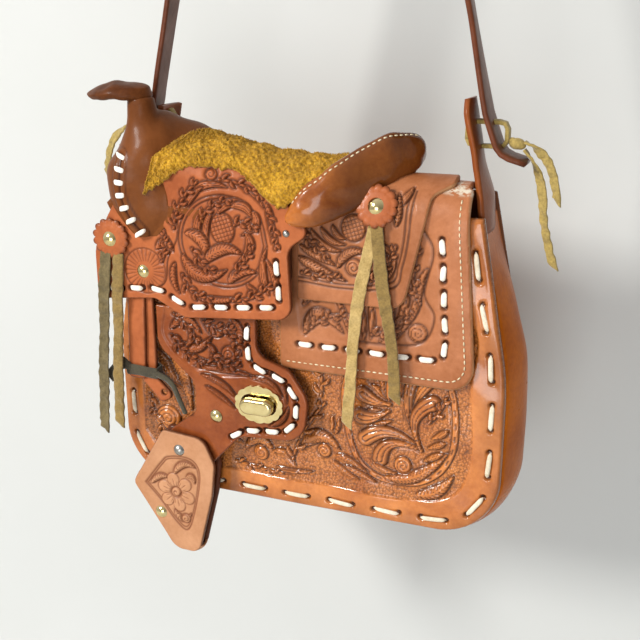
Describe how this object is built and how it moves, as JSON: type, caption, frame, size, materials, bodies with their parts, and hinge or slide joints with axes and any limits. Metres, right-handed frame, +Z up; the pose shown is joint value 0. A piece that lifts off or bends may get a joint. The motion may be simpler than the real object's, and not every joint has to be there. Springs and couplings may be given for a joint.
{
  "type": "saddle handbag",
  "caption": "Tooled leather shoulder bag whose opening flap is a small western saddle with a horn, suede seat, cantle, fender, turn lock and swinging hooded stirrup.",
  "frame": {"origin": "where the strap's inside rests on its peg, at the middle of the strap's width", "axes": "+X to the right seen from the front, +Y from the front to the back along the peg, +Z up"},
  "size_m": [0.2462, 0.0835, 0.5742],
  "materials": {
    "panel_leather": "tooled, dyed and waxed",
    "saddle_leather": "tooled and oiled",
    "stirrup_leather": "tooled, dry",
    "strap_leather": "smooth, oiled",
    "suede": "napped suede",
    "lace_suede": "napped suede lace",
    "string_leather": "limp undyed strings",
    "thong_leather": "dark limp thong",
    "white_lace": "flat white lace",
    "brass": "polished",
    "steel": "nickel plated",
    "core": "plain core, not seen"
  },
  "bodies": {
    "bag": {"front_panel": "panel_leather", "back_panel": "panel_leather", "gusset": "panel_leather", "strap_ear_left": "panel_leather", "strap_ear_right": "panel_leather", "front_lacing": "white_lace", "back_lacing": "white_lace", "shoulder_strap": "strap_leather", "strap_tie_left": "lace_suede", "strap_tie_right": "lace_suede", "turnlock_base": "brass", "turnlock_washer": "brass", "tie_tail_long_left": "lace_suede", "tie_tail_long_right": "lace_suede", "tie_tail_short_left": "lace_suede", "tie_tail_short_right": "lace_suede"},
    "knob": {"turnlock_knob": "brass"},
    "flap": {"flap_skirt": "saddle_leather", "skirt_lacing": "white_lace", "rear_jockey": "saddle_leather", "seat_jockey": "saddle_leather", "jockey_lacing": "white_lace", "saddle_tree": "core", "seat_cover": "suede", "cantle_roll": "saddle_leather", "cantle_nail": "steel", "fork_cover": "saddle_leather", "fork_lacing": "white_lace", "horn_cap": "saddle_leather", "front_rosette": "saddle_leather", "front_rosette_cap": "brass", "rear_rosette": "saddle_leather", "rear_rosette_cap": "brass", "jockey_rivet": "brass", "latigo_strap": "strap_leather", "latigo_tongue": "strap_leather", "latigo_thong": "thong_leather", "fender_hanger": "saddle_leather", "front_string_outer": "string_leather", "front_string_inner": "string_leather", "rear_string_left": "string_leather", "rear_string_right": "string_leather"},
    "fender": {"fender": "saddle_leather", "fender_lacing": "white_lace", "turnlock_plate": "brass", "fender_rivet": "brass"},
    "stirrup": {"stirrup_hood": "stirrup_leather", "stirrup_bolt": "steel", "stirrup_rivet": "brass"}
  },
  "joints": [
    {"name": "flap_open", "type": "hinge", "parent": "bag", "child": "flap", "pos_m": [0, 0.01854, -0.36366], "axis": [-1, 0, 0], "range_deg": [0, 115], "deforming": ["shoulder_strap", "strap_ear_left", "strap_ear_right", "strap_tie_left", "strap_tie_right", "tie_tail_long_left", "tie_tail_long_right", "tie_tail_short_left", "tie_tail_short_right"]},
    {"name": "fender_lift", "type": "hinge", "parent": "flap", "child": "fender", "pos_m": [-0.0494, -0.02775, -0.42839], "axis": [-1, 0, 0], "range_deg": [0, 35]},
    {"name": "knob_turn", "type": "hinge", "parent": "bag", "child": "knob", "pos_m": [-0.0188, -0.031, -0.47639], "axis": [0, 1, 0], "range_deg": [0, 90]},
    {"name": "stirrup_swing", "type": "hinge", "parent": "fender", "child": "stirrup", "pos_m": [-0.0656, -0.02775, -0.50889], "axis": [0, 1, 0], "range_deg": [-20, 20]}
  ]
}
